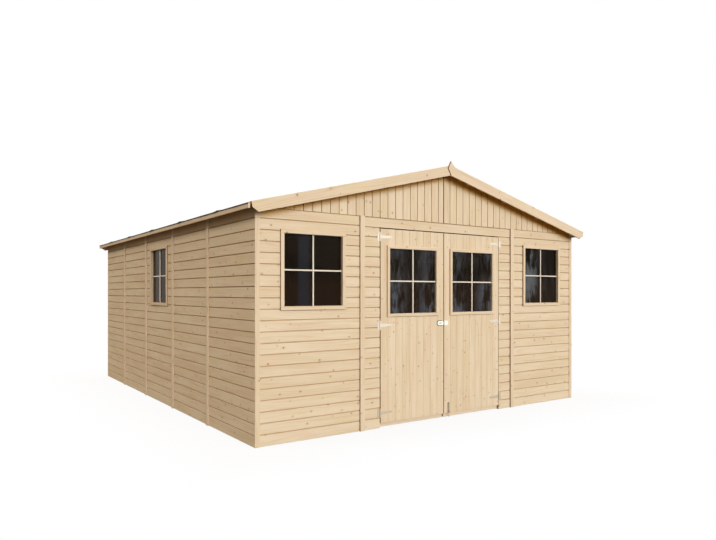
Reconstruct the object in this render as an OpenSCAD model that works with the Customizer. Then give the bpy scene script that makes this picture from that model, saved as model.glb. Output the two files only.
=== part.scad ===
// Wooden garden shed: panel walls, a shallow gable roof and glazed double doors.
// Millimetres, +Z up. The origin is on the ground at the centre of the plan.
// The front with the doors faces -Y and the ridge runs along Y.

/* [Building] */
// Width over the boards of the two side walls
shed_w = 4160; // [3900:10:5200]
// Depth over the boards of the front and back walls
shed_d = 5190; // [4200:10:6800]
// Height of the wall panels above the ground
wall_h = 1970; // [1850:10:2200]

/* [Wall panels] */
// Thickness of the wall boards
board_t = 18; // [14:1:24]
// Joint between two neighbouring panels
panel_gap = 3; // [2:1:6]
// Number of panels in each side wall
side_panels = 5; // [3:2:7]
// Number of panels in the back wall
back_panels = 4; // [3:1:6]
// Width of the studs, sills and plates along the wall
stud_w = 45; // [35:1:60]
// Depth of the studs, sills and plates behind the boards
stud_d = 40; // [30:1:60]

/* [Trim] */
// Width of the battens that cover the panel joints
batten_w = 52; // [40:1:70]
// Thickness of the battens
batten_t = 14; // [12:1:28]
// Width of the corner trims
corner_w = 45; // [35:1:60]
// Thickness of the corner trims
corner_t = 6; // [4:1:20]

/* [Roof] */
// Pitch of the roof in degrees
roof_pitch = 14; // [10:0.5:20]
// Height of the underside of the deck above the wall top, at the wall's outer face
deck_lift = 20; // [12:1:40]
// Clearance between the roof boards and the gables, and under the ridge cap
seat_gap = 0.3; // [0.2:0.1:1]
// Thickness of the roof boards
deck_t = 16; // [12:1:22]
// Thickness of the roofing felt
felt_t = 3; // [2:0.5:4]
// Drop of the felt that is folded down over the eave strip
felt_fold = 12; // [8:1:20]
// Reach of the felt to each side of the ridge under the ridge cap
ridge_cap_w = 150; // [100:10:250]
// Distance from the side wall to the outermost edge of the eave
eave_reach = 103; // [80:1:200]
// Distance from the front wall to the face of the barge boards
gable_reach = 112; // [80:1:200]
// Thickness of the eave strips
eave_strip_t = 18; // [12:1:25]
// Height of the eave strips
eave_strip_h = 42; // [34:1:70]

/* [Purlins] */
// Width of a purlin
purlin_w = 45; // [35:1:60]
// Depth of a purlin below the deck
purlin_h = 45; // [35:1:70]
// Distance of the first purlin from the ridge
purlin_first = 330; // [250:10:420]
// Distance between purlins
purlin_step = 550; // [450:10:650]
// Depth of the ridge beam below the ridge
ridge_beam_h = 70; // [50:1:110]

/* [Barge boards] */
// Width of the barge boards
barge_w = 96; // [80:1:140]
// Thickness of the barge boards
barge_t = 18; // [14:1:26]
// Height of the barge boards' top edge above the deck
barge_rise = 7; // [6:1:20]
// Length of the square cut at the lower end
barge_nose = 51; // [40:1:75]
// Lap of the right-hand board over the ridge line
horn_lap = 40; // [20:1:50]
// Height of the horn above the ridge line of the boards
horn_rise = 44; // [25:1:70]
// Length of the sweep from the horn to the straight top edge
horn_sweep = 95; // [60:1:140]
// Joint between the two boards at the ridge
horn_gap = 4; // [1:0.5:6]

/* [Windows] */
// Width of a window opening
win_w = 584; // [450:2:620]
// Height of a window opening
win_h = 616; // [450:2:640]
// Distance from the wall top down to the head of a wall window
win_drop = 203; // [120:1:300]
// Shift of a front window from the middle of its panel towards the doors
win_shift = 14; // [0:1:30]
// Width of the casing round a wall window
casing_w = 34; // [26:1:50]
// Width of the casing round a door window
door_casing_w = 30; // [24:1:40]
// Thickness of the casing
casing_t = 15; // [10:1:25]
// Thickness of the glass
glass_t = 4; // [3:1:6]
// Lap of the glass on every side of its opening
glass_lap = 10; // [6:1:14]

/* [Doors] */
// Width of one door leaf
leaf_w = 799; // [700:1:900]
// Gap beside, between and above the leaves
door_gap = 6; // [5:0.5:10]
// Height of the board above the doors
lintel_h = 94; // [80:1:160]
// Share of the wall beside the doorway that is the narrow strip next to the doors
door_side_share = 0.16; // [0.14:0.01:0.24]
// Thickness of the door boards
leaf_t = 18; // [14:1:24]
// Height of the lower edge of the door boards above the ground
leaf_foot = 45; // [30:1:70]
// Depth of the door glass behind the face of the boards
door_glass_in = 10; // [6:1:12]
// Distance from the top of the leaf down to the head of its window
door_win_drop = 186; // [140:1:240]
// Thickness of the ledges behind the door boards
ledge_t = 28; // [20:1:40]
// Height of the middle and upper ledges
ledge_h = 110; // [70:1:130]
// Height of the bottom ledge
foot_ledge_h = 180; // [120:1:220]
// Clearance of the bottom ledge above the ground
foot_gap = 7; // [6:1:15]
// Distance of the ledges' ends from the edges of the leaf
ledge_inset = 6; // [5:1:30]
// Distance from the window's lower edge down to the middle of the middle ledge
mid_ledge_drop = 108; // [100:1:150]

/* [Hinges] */
// Thickness of the hinge plates and straps
hinge_t = 2.5; // [2:0.5:4]
// Height of the plate on the wall
jamb_plate_h = 85; // [70:1:110]
// Width of the plate on the wall
jamb_plate_w = 24; // [18:1:32]
// Length of the strap
strap_l = 142; // [110:1:220]
// Height of the strap at its root
strap_root_h = 35; // [28:1:45]
// Height of the strap at its tip
strap_tip_h = 18; // [12:1:24]
// Radius of the hinge pin
pin_r = 3; // [2.5:0.25:4]
// Thickness of the knuckle round the pin
knuckle_wall = 2.5; // [2:0.25:4]
// Running clearance round the pin
pin_clear = 0.05; // [0.02:0.01:0.08]
// Clearance between the knuckles, and between a knuckle and the boards
knuckle_gap = 0.5; // [0.3:0.1:1]
// Distance from the top of the leaf to the upper hinge
top_hinge_drop = 80; // [60:1:110]
// Height of the lower hinge above the lower edge of the door boards
foot_hinge_rise = 95; // [60:1:110]

/* [Hasp] */
// Thickness of the hasp's plates
hasp_t = 3; // [2:0.5:4]
// Length of the slotted flap
flap_l = 82; // [70:1:110]
// Height of the slotted flap
flap_h = 44; // [36:1:56]
// Length of the slot
slot_l = 36; // [30:1:44]
// Height of the slot
slot_h = 10; // [9:0.5:14]
// Radius of the staple's bend, at the middle of its bar
staple_r = 10; // [8:0.5:12]
// Radius of the staple's bar
staple_bar_r = 3; // [2:0.25:4]
// Width of the base plate
hasp_plate_w = 54; // [44:1:70]
// Height of the base plate
hasp_plate_h = 44; // [36:1:56]
// Radius of the roll at the base plate's edge
hasp_roll_r = 4; // [3:0.5:5]

/* [Floor bolt] */
// Distance from the leaf's meeting edge to the bolt
bolt_in = 62; // [45:1:90]
// Width of the bolt's plate
bolt_plate_w = 36; // [30:1:50]
// Height of the bolt's plate
bolt_plate_h = 104; // [90:1:140]
// Thickness of the bolt's plate
bolt_plate_t = 3; // [2:0.5:5]
// Radius of the bolt
bolt_r = 4; // [3:0.25:5]
// Wall of the guides round the bolt
guide_wall = 2.5; // [2:0.25:4]
// Height of a guide
guide_h = 12; // [8:1:16]
// Running clearance round the bolt
bolt_clear = 0.05; // [0.02:0.01:0.08]
// Clearance of the bolt's foot above the ground
bolt_foot = 7; // [6:1:12]
// Lift of the bolt
bolt_lift = 40; // [30:1:45]
// Radius of the bolt's handle
knob_r = 3.5; // [3:0.25:5]
// Length of the bolt's handle
knob_l = 18; // [12:1:26]

/* [Hidden] */
$fn = 48;

pine = "#e0bf8f";
pine_dark = "#c9a673";
zinc = "#c9ccd0";
felt = "#3a3b3d";
pane = "#4a565e80";

half_w = shed_w / 2;
half_d = shed_d / 2;

// Roof lines. Vertical sizes of sloping pieces are their thickness over the cosine.
slope = tan(roof_pitch);
plumb = 1 / cos(roof_pitch);
deck_under = wall_h + deck_lift + slope * half_w;
deck_top = deck_under + deck_t * plumb;
felt_top = deck_top + felt_t * plumb;
barge_top = deck_top + barge_rise;
barge_low = barge_top - barge_w * plumb;
eave_x = half_w + eave_reach;
deck_edge = eave_x - felt_t - eave_strip_t;
deck_half = half_d + gable_reach - barge_t;

// Purlins on one slope, as many as fit between the ridge and the wall
purlin_last = half_w - stud_d - board_t - purlin_w - purlin_h;
purlin_n = 1 + floor((purlin_last - purlin_first) / purlin_step);

// Panels
side_pitch = shed_d / side_panels;
back_inner = shed_w - 2 * board_t;
back_pitch = shed_w / back_panels;
mid_panel = (side_panels - 1) / 2;

// Doorway
doorway_half = leaf_w + 1.5 * door_gap;
joint_x = doorway_half + door_side_share * (half_w - doorway_half);
lintel_z = wall_h - lintel_h;
leaf_top = lintel_z - door_gap;
leaf_in = door_gap / 2;
leaf_mid = leaf_in + leaf_w / 2;

// Windows: the middle of a front window and the heights of the lower edges
front_win_x = (half_w - corner_w + joint_x + batten_w / 2) / 2 - win_shift;
win_z = wall_h - win_drop - win_h;
door_win_z = leaf_top - door_win_drop - win_h;

// Hinges: the axis stands in front of the gap beside the leaf
knuckle_r = pin_r + knuckle_wall;
axis_x = doorway_half - door_gap / 2;
axis_y = -half_d - knuckle_r - knuckle_gap;
mid_z = door_win_z - mid_ledge_drop;
foot_hinge_z = leaf_foot + foot_hinge_rise;
top_hinge_z = leaf_top - top_hinge_drop;
hinge_z = [foot_hinge_z, mid_z, top_hinge_z];

// Floor bolt
bolt_x = leaf_in + bolt_in;
bolt_plate_rise = 2;
bolt_plate_z = leaf_foot + bolt_plate_rise;
guide_half = bolt_r + guide_wall;
bolt_y = -half_d - bolt_plate_t - guide_half;
knob_z = bolt_plate_z + guide_h + knuckle_gap + knob_r;
eps = 1;

// A box from its low corner to its high corner
module block(low, high) {
  translate(low)
    cube(high - low);
}

// Turns the profile of a sheet in X and Z into a slab that runs along Y
module along_y(y0, y1) {
  translate([0, y1, 0])
    rotate([90, 0, 0])
      linear_extrude(y1 - y0)
        children();
}

module mirror_x() {
  mirror([1, 0, 0])
    children();
}

module mirror_y() {
  mirror([0, 1, 0])
    children();
}

module both_sides() {
  children();
  mirror_x() children();
}

module both_ends() {
  children();
  mirror_y() children();
}

// Side walls

// One plain panel of the left wall, counted from the front
module side_panel(i) {
  y0 = -half_d + i * side_pitch + (i == 0 ? 0 : panel_gap / 2);
  y1 = -half_d + (i + 1) * side_pitch - (i == side_panels - 1 ? 0 : panel_gap / 2);
  block([-half_w, y0, 0], [-half_w + board_t, y1, wall_h]);
}

module side_plain_panels() {
  for (i = [0 : side_panels - 1])
    if (i != mid_panel)
      side_panel(i);
}

module side_window_panel() {
  difference() {
    side_panel(mid_panel);
    block([-half_w - eps, -win_w / 2, win_z], [-half_w + board_t + eps, win_w / 2, win_z + win_h]);
  }
}

module side_battens() {
  for (i = [1 : side_panels - 1]) {
    y = -half_d + i * side_pitch;
    block([-half_w - batten_t, y - batten_w / 2, 0], [-half_w, y + batten_w / 2, wall_h]);
  }
}

module left_wall_panels() { color(pine) side_plain_panels(); }
module right_wall_panels() { color(pine) mirror_x() side_plain_panels(); }
module left_window_panel() { color(pine) side_window_panel(); }
module right_window_panel() { color(pine) mirror_x() side_window_panel(); }
module left_cover_battens() { color(pine) side_battens(); }
module right_cover_battens() { color(pine) mirror_x() side_battens(); }

// Back wall

module back_wall_panels() {
  color(pine)
    for (i = [0 : back_panels - 1]) {
      x0 = max(-back_inner / 2, -half_w + i * back_pitch + panel_gap / 2);
      x1 = min(back_inner / 2, -half_w + (i + 1) * back_pitch - panel_gap / 2);
      block([x0, half_d - board_t, 0], [x1, half_d, wall_h]);
    }
}

module back_cover_battens() {
  color(pine)
    for (i = [1 : back_panels - 1]) {
      x = -half_w + i * back_pitch;
      block([x - batten_w / 2, half_d, 0], [x + batten_w / 2, half_d + batten_t, wall_h]);
    }
}

// Front wall

module front_window_panel() {
  difference() {
    block([-half_w + board_t, -half_d, 0], [-joint_x - panel_gap / 2, -half_d + board_t, wall_h]);
    block([-front_win_x - win_w / 2, -half_d - eps, win_z],
          [-front_win_x + win_w / 2, -half_d + board_t + eps, win_z + win_h]);
  }
}

module front_left_panel() { color(pine) front_window_panel(); }
module front_right_panel() { color(pine) mirror_x() front_window_panel(); }

module door_side_panels() {
  color(pine)
    both_sides()
      block([-joint_x + panel_gap / 2, -half_d, 0], [-doorway_half, -half_d + board_t, lintel_z]);
}

module door_lintel_board() {
  color(pine)
    block([-joint_x + panel_gap / 2, -half_d, lintel_z],
          [joint_x - panel_gap / 2, -half_d + board_t, wall_h]);
}

module front_cover_battens() {
  color(pine)
    both_sides()
      block([-joint_x - batten_w / 2, -half_d - batten_t, 0],
            [-joint_x + batten_w / 2, -half_d, wall_h]);
}

module corner_trims() {
  color(pine)
    both_ends()
      both_sides()
        block([-half_w, -half_d - corner_t, 0], [-half_w + corner_w, -half_d, wall_h]);
}

// Gables, in two halves each, notched for the purlins and the ridge beam

module purlin_profile(i) {
  x = purlin_first + i * purlin_step;
  translate([x, deck_under - slope * x])
    rotate(-roof_pitch)
      translate([-purlin_w / 2, -purlin_h])
        square([purlin_w, purlin_h]);
}

module ridge_profile() {
  x = purlin_w / 2;
  polygon([[-x, deck_under - ridge_beam_h], [x, deck_under - ridge_beam_h],
           [x, deck_under - slope * x], [0, deck_under], [-x, deck_under - slope * x]]);
}

module gable_half() {
  x0 = panel_gap / 2;
  along_y(-half_d, -half_d + board_t)
    difference() {
      polygon([[x0, wall_h], [half_w, wall_h], [half_w, wall_h + deck_lift - seat_gap],
               [x0, deck_under - slope * x0 - seat_gap]]);
      ridge_profile();
      for (i = [0 : purlin_n - 1])
        purlin_profile(i);
    }
}

module front_gable() { color(pine) both_sides() gable_half(); }
module back_gable() { color(pine) mirror_y() both_sides() gable_half(); }

// Frame behind the boards

inner_x = half_w - board_t - stud_d;
inner_y = half_d - board_t - stud_d;

// The four rails of one level; the front rail can leave the doorway open
module ring_rails(z0, door_open) {
  z1 = z0 + stud_w;
  both_sides()
    block([-half_w + board_t, -half_d + board_t, z0], [-inner_x, half_d - board_t, z1]);
  block([-inner_x, inner_y, z0], [inner_x, half_d - board_t, z1]);
  if (door_open)
    both_sides()
      block([-inner_x, -half_d + board_t, z0], [-doorway_half, -inner_y, z1]);
  else
    block([-inner_x, -half_d + board_t, z0], [inner_x, -inner_y, z1]);
}

module base_sills() { color(pine_dark) ring_rails(0, true); }
module top_plates() { color(pine_dark) ring_rails(wall_h - stud_w, false); }

// A stud of the left wall, from its front edge
module side_stud(y) {
  block([-half_w + board_t, y, stud_w], [-inner_x, y + stud_w, wall_h - stud_w]);
}

// A stud of the front wall, from its left edge
module end_stud(x) {
  block([x, -half_d + board_t, stud_w], [x + stud_w, -inner_y, wall_h - stud_w]);
}

module side_wall_studs() {
  color(pine_dark)
    both_sides()
      for (i = [0 : side_panels - 1]) {
        y0 = -half_d + i * side_pitch + (i == 0 ? board_t : panel_gap / 2);
        y1 = -half_d + (i + 1) * side_pitch - (i == side_panels - 1 ? board_t : panel_gap / 2);
        side_stud(y0);
        side_stud(y1 - stud_w);
      }
}

module end_wall_studs() {
  color(pine_dark) {
    both_sides() {
      end_stud(-inner_x);
      end_stud(-joint_x - panel_gap / 2 - stud_w);
      end_stud(-joint_x + panel_gap / 2);
      end_stud(-doorway_half - stud_w);
    }
    mirror_y()
      for (i = [0 : back_panels - 1]) {
        x0 = max(-inner_x, -half_w + i * back_pitch + panel_gap / 2);
        x1 = min(inner_x, -half_w + (i + 1) * back_pitch - panel_gap / 2);
        end_stud(x0);
        end_stud(x1 - stud_w);
      }
  }
}

// Rails under and over the wall windows, between the studs of their panels
module window_rails() {
  rail_z = [win_z - glass_lap - stud_w, win_z + win_h + glass_lap];
  side_half = side_pitch / 2 - panel_gap / 2 - stud_w;
  color(pine_dark)
    both_sides()
      for (z = rail_z) {
        block([-half_w + board_t, -side_half, z], [-inner_x, side_half, z + stud_w]);
        block([-inner_x + stud_w, -half_d + board_t, z],
              [-joint_x - panel_gap / 2 - stud_w, -inner_y, z + stud_w]);
      }
}

// Roof

// Bevelled plates that lie on the side walls and carry the foot of the deck
module eave_plates() {
  color(pine_dark)
    both_sides()
      along_y(-half_d + board_t, half_d - board_t)
        polygon([[inner_x, wall_h], [half_w, wall_h], [half_w, deck_under - slope * half_w],
                 [inner_x, deck_under - slope * inner_x]]);
}

module purlins() {
  color(pine_dark)
    both_sides()
      for (i = [0 : purlin_n - 1])
        along_y(-deck_half, deck_half)
          purlin_profile(i);
}

module ridge_beam() {
  color(pine_dark)
    along_y(-deck_half, deck_half)
      ridge_profile();
}

module deck_slope() {
  along_y(-deck_half, deck_half)
    polygon([[0, deck_under], [0, deck_top], [deck_edge, deck_top - slope * deck_edge],
             [deck_edge, deck_under - slope * deck_edge]]);
}

module roof_deck_left() { color(pine_dark) mirror_x() deck_slope(); }
module roof_deck_right() { color(pine_dark) deck_slope(); }

// The felt lies on the deck and folds down over the eave strip
module felt_slope() {
  strip_x = eave_x - felt_t;
  fold_z = deck_top - slope * eave_x - felt_fold;
  along_y(-deck_half, deck_half)
    polygon([[0, deck_top], [0, felt_top], [eave_x, felt_top - slope * eave_x],
             [eave_x, fold_z], [strip_x, fold_z], [strip_x, deck_top - slope * strip_x]]);
}

module roof_felt_left() { color(felt) mirror_x() felt_slope(); }
module roof_felt_right() { color(felt) felt_slope(); }

module ridge_cap() {
  x = ridge_cap_w;
  cap_low = felt_top + seat_gap;
  cap_top = cap_low + felt_t * plumb;
  color(felt)
    along_y(-deck_half, deck_half)
      polygon([[-x, cap_low - slope * x], [0, cap_low], [x, cap_low - slope * x],
               [x, cap_top - slope * x], [0, cap_top], [-x, cap_top - slope * x]]);
}

module eave_strips() {
  strip_x = eave_x - felt_t;
  top_z = deck_top - slope * strip_x;
  color(pine)
    both_sides()
      along_y(-deck_half, deck_half)
        polygon([[deck_edge, top_z - eave_strip_h], [strip_x, top_z - eave_strip_h],
                 [strip_x, top_z], [deck_edge, deck_top - slope * deck_edge]]);
}

// Barge boards. Their lower ends are cut square beside the eave strip, with a chamfer below.
// At the ridge the right-hand board ends in a pointed horn that laps over the left one.

horn_tip = barge_top + horn_rise;
horn_point = 0.48;
horn_mid = barge_low + (horn_tip - barge_low) * horn_point;
sweep_steps = 8;
sweep_power = 3;

// The swept top edge between the horn's tip and the straight part of the board
function horn_curve() = [
  for (k = [1 : sweep_steps])
    let (t = k / sweep_steps)
    [horn_sweep * t, barge_top - slope * horn_sweep * t + horn_rise * pow(1 - t, sweep_power)]
];

// A point of the lower end of a board, along it from the end and across it from the top edge
function barge_end(along, across) = [
  deck_edge - along * cos(roof_pitch) - across * sin(roof_pitch),
  barge_top - slope * deck_edge + along * sin(roof_pitch) - across * cos(roof_pitch)
];

function barge_foot() = [
  barge_end(0, 0), barge_end(0, barge_nose), barge_end(barge_w - barge_nose, barge_w)
];

module barge_right_profile() {
  polygon(concat(
    [[0, barge_low], [-horn_lap, horn_mid], [0, horn_tip]],
    horn_curve(),
    barge_foot()
  ));
}

module barge_left_profile() {
  lean = horn_lap / (horn_tip - horn_mid);
  top_x = (horn_lap + horn_gap - lean * (barge_top - horn_mid)) / (1 - lean * slope);
  polygon(concat(
    [[-horn_gap, barge_low - slope * horn_gap], [-horn_lap - horn_gap, horn_mid],
     [-top_x, barge_top - slope * top_x]],
    [for (p = barge_foot()) [-p[0], p[1]]]
  ));
}

module front_barge_right() {
  color(pine)
    along_y(-half_d - gable_reach, -deck_half)
      barge_right_profile();
}

module front_barge_left() {
  color(pine)
    along_y(-half_d - gable_reach, -deck_half)
      barge_left_profile();
}

module back_barge_right() { color(pine) mirror_x() mirror_y() front_barge_left(); }
module back_barge_left() { color(pine) mirror_x() mirror_y() front_barge_right(); }

// Windows. A window is drawn in the front plane, centred on X, from its lower edge up.

module casing(width) {
  out_w = win_w / 2 + width;
  difference() {
    block([-out_w, -casing_t, -width], [out_w, 0, win_h + width]);
    block([-win_w / 2, -casing_t - eps, 0], [win_w / 2, eps, win_h]);
  }
}

module glass_pane() {
  x = win_w / 2 + glass_lap;
  block([-x, 0, -glass_lap], [x, glass_t, win_h + glass_lap]);
}

module at_front_window() {
  translate([-front_win_x, -half_d, win_z])
    children();
}

module at_side_window() {
  translate([-half_w, 0, win_z])
    rotate(-90)
      children();
}

module front_left_window_frame() { color(pine) at_front_window() casing(casing_w); }
module front_right_window_frame() { color(pine) mirror_x() at_front_window() casing(casing_w); }
module left_window_frame() { color(pine) at_side_window() casing(casing_w); }
module right_window_frame() { color(pine) mirror_x() at_side_window() casing(casing_w); }

module wall_window_glass() {
  color(pane)
    both_sides() {
      at_front_window()
        translate([0, board_t, 0])
          glass_pane();
      at_side_window()
        translate([0, board_t, 0])
          glass_pane();
    }
}

// Doors. Each is drawn as the left leaf and mirrored for the right one.

// The opening is rebated from the back, and the glass lies in the rebate
module leaf() {
  rebate_x = win_w / 2 + glass_lap;
  difference() {
    block([-leaf_in - leaf_w, -half_d, leaf_foot], [-leaf_in, -half_d + leaf_t, leaf_top]);
    at_door_window() {
      block([-win_w / 2, -eps, 0], [win_w / 2, leaf_t + eps, win_h]);
      block([-rebate_x, door_glass_in, -glass_lap], [rebate_x, leaf_t + eps, win_h + glass_lap]);
    }
  }
}

module ledges() {
  x0 = -leaf_in - leaf_w + ledge_inset;
  x1 = -leaf_in - ledge_inset;
  y0 = -half_d + leaf_t;
  y1 = y0 + ledge_t;
  block([x0, y0, foot_gap], [x1, y1, foot_gap + foot_ledge_h]);
  for (z = [mid_z, top_hinge_z])
    block([x0, y0, z - ledge_h / 2], [x1, y1, z + ledge_h / 2]);
}

module at_door_window() {
  translate([-leaf_mid, -half_d, door_win_z])
    children();
}

module door_pane() {
  at_door_window()
    translate([0, door_glass_in, 0])
      glass_pane();
}

module left_door_leaf() { color(pine) leaf(); }
module right_door_leaf() { color(pine) mirror_x() leaf(); }
module left_door_ledges() { color(pine_dark) ledges(); }
module right_door_ledges() { color(pine_dark) mirror_x() ledges(); }
module left_door_window_frame() { color(pine) at_door_window() casing(door_casing_w); }
module right_door_window_frame() { color(pine) mirror_x() at_door_window() casing(door_casing_w); }
module left_door_glass() { color(pane) door_pane(); }
module right_door_glass() { color(pane) mirror_x() door_pane(); }

// Strap hinges, drawn for the left leaf at the height of their middle

knuckle_h = strap_root_h - 2 * knuckle_gap;
web_x = knuckle_r + knuckle_gap;
plate_back = -axis_y - half_d;

// Wall plate with its two knuckles and the pin that runs through all three
module jamb_plate() {
  end_h = (jamb_plate_h - strap_root_h) / 2;
  translate([-axis_x, axis_y, 0]) {
    block([-web_x - jamb_plate_w, plate_back - hinge_t, -jamb_plate_h / 2],
          [-web_x, plate_back, jamb_plate_h / 2]);
    cylinder(h = jamb_plate_h, r = pin_r, center = true);
    for (z = [strap_root_h / 2, -jamb_plate_h / 2])
      translate([0, 0, z]) {
        cylinder(h = end_h, r = knuckle_r);
        block([-web_x - eps, plate_back - hinge_t, 0], [0, plate_back - knuckle_gap, end_h]);
      }
  }
}

module strap() {
  tip_r = strap_tip_h / 2;
  translate([-axis_x, axis_y, 0])
    difference() {
      union() {
        cylinder(h = knuckle_h, r = knuckle_r, center = true);
        block([0, plate_back - hinge_t, -knuckle_h / 2], [web_x + eps, plate_back, knuckle_h / 2]);
        translate([0, plate_back, 0])
          rotate([90, 0, 0])
            linear_extrude(hinge_t) {
              polygon([[web_x, -knuckle_h / 2], [strap_l - tip_r, -tip_r],
                       [strap_l - tip_r, tip_r], [web_x, knuckle_h / 2]]);
              translate([strap_l - tip_r, 0])
                circle(tip_r);
            }
      }
      cylinder(h = strap_root_h, r = pin_r + pin_clear, center = true);
    }
}

module hinge_plates() {
  color(zinc)
    both_sides()
      for (z = hinge_z)
        translate([0, 0, z])
          jamb_plate();
}

module leaf_straps() {
  for (z = hinge_z)
    translate([0, 0, z])
      strap();
}

module left_hinge_straps() { color(zinc) leaf_straps(); }
module right_hinge_straps() { color(zinc) mirror_x() leaf_straps(); }

// Hasp: a slotted flap over a staple on the left leaf, and its base plate on the right leaf

module stadium(l, h) {
  square([l - h, h], center = true);
  for (side = [-1, 1])
    translate([side * (l - h) / 2, 0])
      circle(h / 2);
}

module at_flap() {
  translate([-leaf_in - flap_l / 2, -half_d, mid_z])
    children();
}

module hasp_flap() {
  color(zinc)
    at_flap()
      rotate([90, 0, 0])
        linear_extrude(hasp_t)
          difference() {
            stadium(flap_l, flap_h);
            stadium(slot_l, slot_h);
          }
}

module hasp_staple() {
  color(zinc)
    at_flap() {
      translate([0, -hasp_t, 0])
        rotate(180)
          rotate_extrude(angle = 180)
            translate([staple_r, 0])
              circle(staple_bar_r);
      for (side = [-1, 1])
        translate([side * staple_r, 0, 0])
          rotate([90, 0, 0])
            cylinder(h = hasp_t, r = staple_bar_r);
    }
}

module hasp_plate() {
  color(zinc) {
    block([leaf_in, -half_d - hasp_t, mid_z - hasp_plate_h / 2],
          [leaf_in + hasp_plate_w, -half_d, mid_z + hasp_plate_h / 2]);
    translate([leaf_in + hasp_roll_r, -half_d - hasp_t - hasp_roll_r / 2, mid_z])
      cylinder(h = hasp_plate_h, r = hasp_roll_r, center = true);
  }
}

// Floor bolt on the right leaf

module bolt_plate() {
  color(zinc)
    difference() {
      union() {
        block([bolt_x - bolt_plate_w / 2, -half_d - bolt_plate_t, bolt_plate_z],
              [bolt_x + bolt_plate_w / 2, -half_d, bolt_plate_z + bolt_plate_h]);
        for (z = [bolt_plate_z, bolt_plate_z + bolt_plate_h - guide_h])
          block([bolt_x - guide_half, bolt_y - guide_half, z],
                [bolt_x + guide_half, -half_d - bolt_plate_t, z + guide_h]);
      }
      translate([bolt_x, bolt_y, bolt_plate_z - eps])
        cylinder(h = bolt_plate_h + 2 * eps, r = bolt_r + bolt_clear);
    }
}

module bolt_rod() {
  color(zinc) {
    translate([bolt_x, bolt_y, bolt_foot])
      cylinder(h = bolt_plate_z + bolt_plate_h - bolt_foot, r = bolt_r);
    translate([bolt_x, bolt_y, knob_z])
      rotate([90, 0, 0])
        cylinder(h = knob_l, r = knob_r);
  }
}

left_wall_panels();
left_window_panel();
right_wall_panels();
right_window_panel();
back_wall_panels();
front_left_panel();
front_right_panel();
door_side_panels();
door_lintel_board();
front_gable();
back_gable();
left_cover_battens();
right_cover_battens();
front_cover_battens();
back_cover_battens();
corner_trims();
base_sills();
top_plates();
side_wall_studs();
end_wall_studs();
window_rails();
eave_plates();
purlins();
ridge_beam();
roof_deck_left();
roof_deck_right();
roof_felt_left();
roof_felt_right();
ridge_cap();
eave_strips();
front_barge_left();
front_barge_right();
back_barge_left();
back_barge_right();
front_left_window_frame();
front_right_window_frame();
left_window_frame();
right_window_frame();
wall_window_glass();
hinge_plates();
left_door_leaf();
left_door_ledges();
left_door_window_frame();
left_door_glass();
left_hinge_straps();
hasp_flap();
hasp_staple();
right_door_leaf();
right_door_ledges();
right_door_window_frame();
right_door_glass();
right_hinge_straps();
hasp_plate();
bolt_plate();
bolt_rod();
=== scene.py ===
"""Looks of the wooden garden shed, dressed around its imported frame.

Metres, +Z up. The front with the doors faces -Y and the ridge runs along Y.
"""

import math
import random

import bmesh
import bpy
from mathutils import Matrix, Vector, noise

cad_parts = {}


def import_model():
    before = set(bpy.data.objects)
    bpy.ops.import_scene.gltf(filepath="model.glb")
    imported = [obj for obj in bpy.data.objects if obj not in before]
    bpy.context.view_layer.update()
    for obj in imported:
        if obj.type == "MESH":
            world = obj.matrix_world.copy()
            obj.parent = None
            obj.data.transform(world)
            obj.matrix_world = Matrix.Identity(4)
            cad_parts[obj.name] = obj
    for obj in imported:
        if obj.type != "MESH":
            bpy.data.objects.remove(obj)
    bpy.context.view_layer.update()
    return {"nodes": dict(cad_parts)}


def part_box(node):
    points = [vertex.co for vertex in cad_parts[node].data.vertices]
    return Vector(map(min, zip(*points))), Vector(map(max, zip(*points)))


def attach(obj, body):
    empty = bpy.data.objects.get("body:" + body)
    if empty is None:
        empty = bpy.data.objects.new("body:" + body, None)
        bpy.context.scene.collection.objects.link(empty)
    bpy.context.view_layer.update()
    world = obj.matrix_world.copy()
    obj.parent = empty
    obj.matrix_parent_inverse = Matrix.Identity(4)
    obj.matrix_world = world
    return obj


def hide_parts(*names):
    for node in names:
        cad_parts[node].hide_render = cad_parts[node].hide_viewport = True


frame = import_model()
scene = bpy.context.scene

# The photograph's frame and its camera
IMAGE_W = 716
IMAGE_H = 540
SENSOR = 36
FOCAL_PX = 602.8
HORIZON_PX = 292.7
CAMERA_AT = (-4.191, -7.105, 1.266)
CAMERA_TURN = math.radians(-34.81)

# Light and floor
SKY = 0.37
SKY_TINT = (1.0, 0.88, 0.72, 1)
FLOOR_SIZE = 60
FLOOR_DROP = 0.001
FLOOR_BOUNCE = 0.09
FLOOR_TONE = 0.9
GLOW_NEAR = 0.9
GLOW_REACH = 1.2
# Lamps: power, tint, degrees right of the front, degrees above the ground and spread
LAMPS = {
    "key": (2.19, (0.975, 0.99, 1.0), -3, 15, 34),
    "second_key": (0.56, (0.975, 0.99, 1.0), 38, 18, 34),
    "left_fill": (1.12, (1.0, 0.925, 0.83), -110, 37, 20),
    "right_fill": (0.8, (1.0, 0.925, 0.83), 105, 37, 20),
    "back_fill": (1.0, (1.0, 0.925, 0.83), 180, 35, 20),
}

# Walls and roof: places from the frame, pitch and deck as in the source
wall_low, wall_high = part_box("left_wall_panels")
HALF_W = -wall_low.x
HALF_D = wall_high.y
WALL_H = wall_high.z
BOARD_T = wall_high.x - wall_low.x
deck_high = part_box("roof_deck_right")[1]
PITCH = math.radians(14)
SLOPE = math.tan(PITCH)
DECK_T = 0.016
DECK_EDGE = deck_high.x
DECK_HALF = deck_high.y
DECK_TOP = deck_high.z
DECK_UNDER = DECK_TOP - DECK_T / math.cos(PITCH)
STRIP_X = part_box("eave_strips")[1].x
FOLD_LIFT = 0.005
FOLD_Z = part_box("roof_felt_right")[0].z + FOLD_LIFT

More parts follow.
